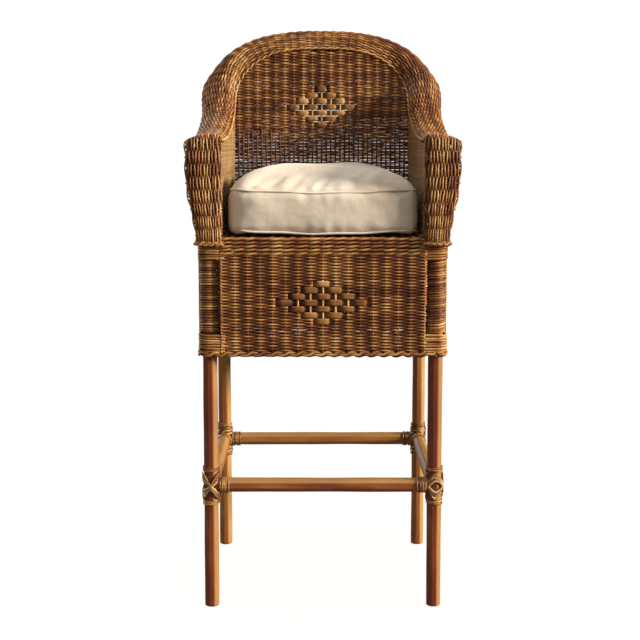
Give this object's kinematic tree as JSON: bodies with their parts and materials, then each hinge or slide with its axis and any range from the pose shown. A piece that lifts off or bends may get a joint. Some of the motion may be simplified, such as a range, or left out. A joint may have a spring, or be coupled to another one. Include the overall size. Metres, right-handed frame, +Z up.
{
  "type": "bar stool",
  "caption": "Bar-height stool of rattan poles with a woven skirt, woven arms and arched back under a wide rolled rim, a footrest ring and a loose box cushion.",
  "frame": {"origin": "on the floor, under the middle of the bounding box", "axes": "+Z up, -Y towards the front, where the sitter's legs hang, +X to the right of someone facing the front"},
  "size_m": [0.5524, 0.6014, 1.2065],
  "materials": {
    "rattan_pole": "stained and varnished, semi-gloss",
    "wicker_reed": "stained, satin",
    "flat_cane": "stained, satin",
    "cushion_cover": "plain weave, matte",
    "screw": "plain"
  },
  "bodies": {
    "frame": {"front_left_leg": "rattan_pole", "front_right_leg": "rattan_pole", "back_left_leg": "rattan_pole", "back_right_leg": "rattan_pole", "front_left_cross_screw": "screw", "front_left_side_screw": "screw", "front_right_cross_screw": "screw", "front_right_side_screw": "screw", "back_left_cross_screw": "screw", "back_left_side_screw": "screw", "back_right_cross_screw": "screw", "back_right_side_screw": "screw", "front_footrest_stretcher": "rattan_pole", "back_stretcher": "rattan_pole", "left_stretcher": "rattan_pole", "right_stretcher": "rattan_pole", "front_seat_rail": "rattan_pole", "back_seat_rail": "rattan_pole", "left_seat_rail": "rattan_pole", "right_seat_rail": "rattan_pole", "front_skirt_rail": "rattan_pole", "back_skirt_rail": "rattan_pole", "left_skirt_rail": "rattan_pole", "right_skirt_rail": "rattan_pole", "left_seat_slat": "rattan_pole", "middle_seat_slat": "rattan_pole", "right_seat_slat": "rattan_pole", "rim_hoop": "rattan_pole", "front_left_joint_binding": "flat_cane", "front_right_joint_binding": "flat_cane", "back_left_joint_binding": "flat_cane", "back_right_joint_binding": "flat_cane", "seat_border": "wicker_reed", "skirt_border": "wicker_reed", "front_left_leg_wrap": "wicker_reed", "front_right_leg_wrap": "wicker_reed", "back_left_leg_wrap": "wicker_reed", "back_right_leg_wrap": "wicker_reed", "front_skirt_panel": "wicker_reed", "back_skirt_panel": "wicker_reed", "left_skirt_panel": "wicker_reed", "right_skirt_panel": "wicker_reed", "skirt_diamond": "flat_cane", "seat_deck": "wicker_reed", "rolled_rim": "wicker_reed", "inner_rim_braid": "wicker_reed", "outer_rim_braid": "wicker_reed", "back_panel": "wicker_reed", "back_diamond": "flat_cane", "left_inner_arm_panel": "wicker_reed", "right_inner_arm_panel": "wicker_reed", "left_outer_arm_panel": "wicker_reed", "right_outer_arm_panel": "wicker_reed", "left_arm_front": "wicker_reed", "right_arm_front": "wicker_reed"},
    "cushion": {"cushion": "cushion_cover", "cushion_top_piping": "cushion_cover", "cushion_bottom_piping": "cushion_cover"}
  },
  "joints": [
    {"name": "cushion_lift", "type": "slide", "parent": "frame", "child": "cushion", "axis": [0, 0, 1], "range_m": [0, 0.45]}
  ]
}
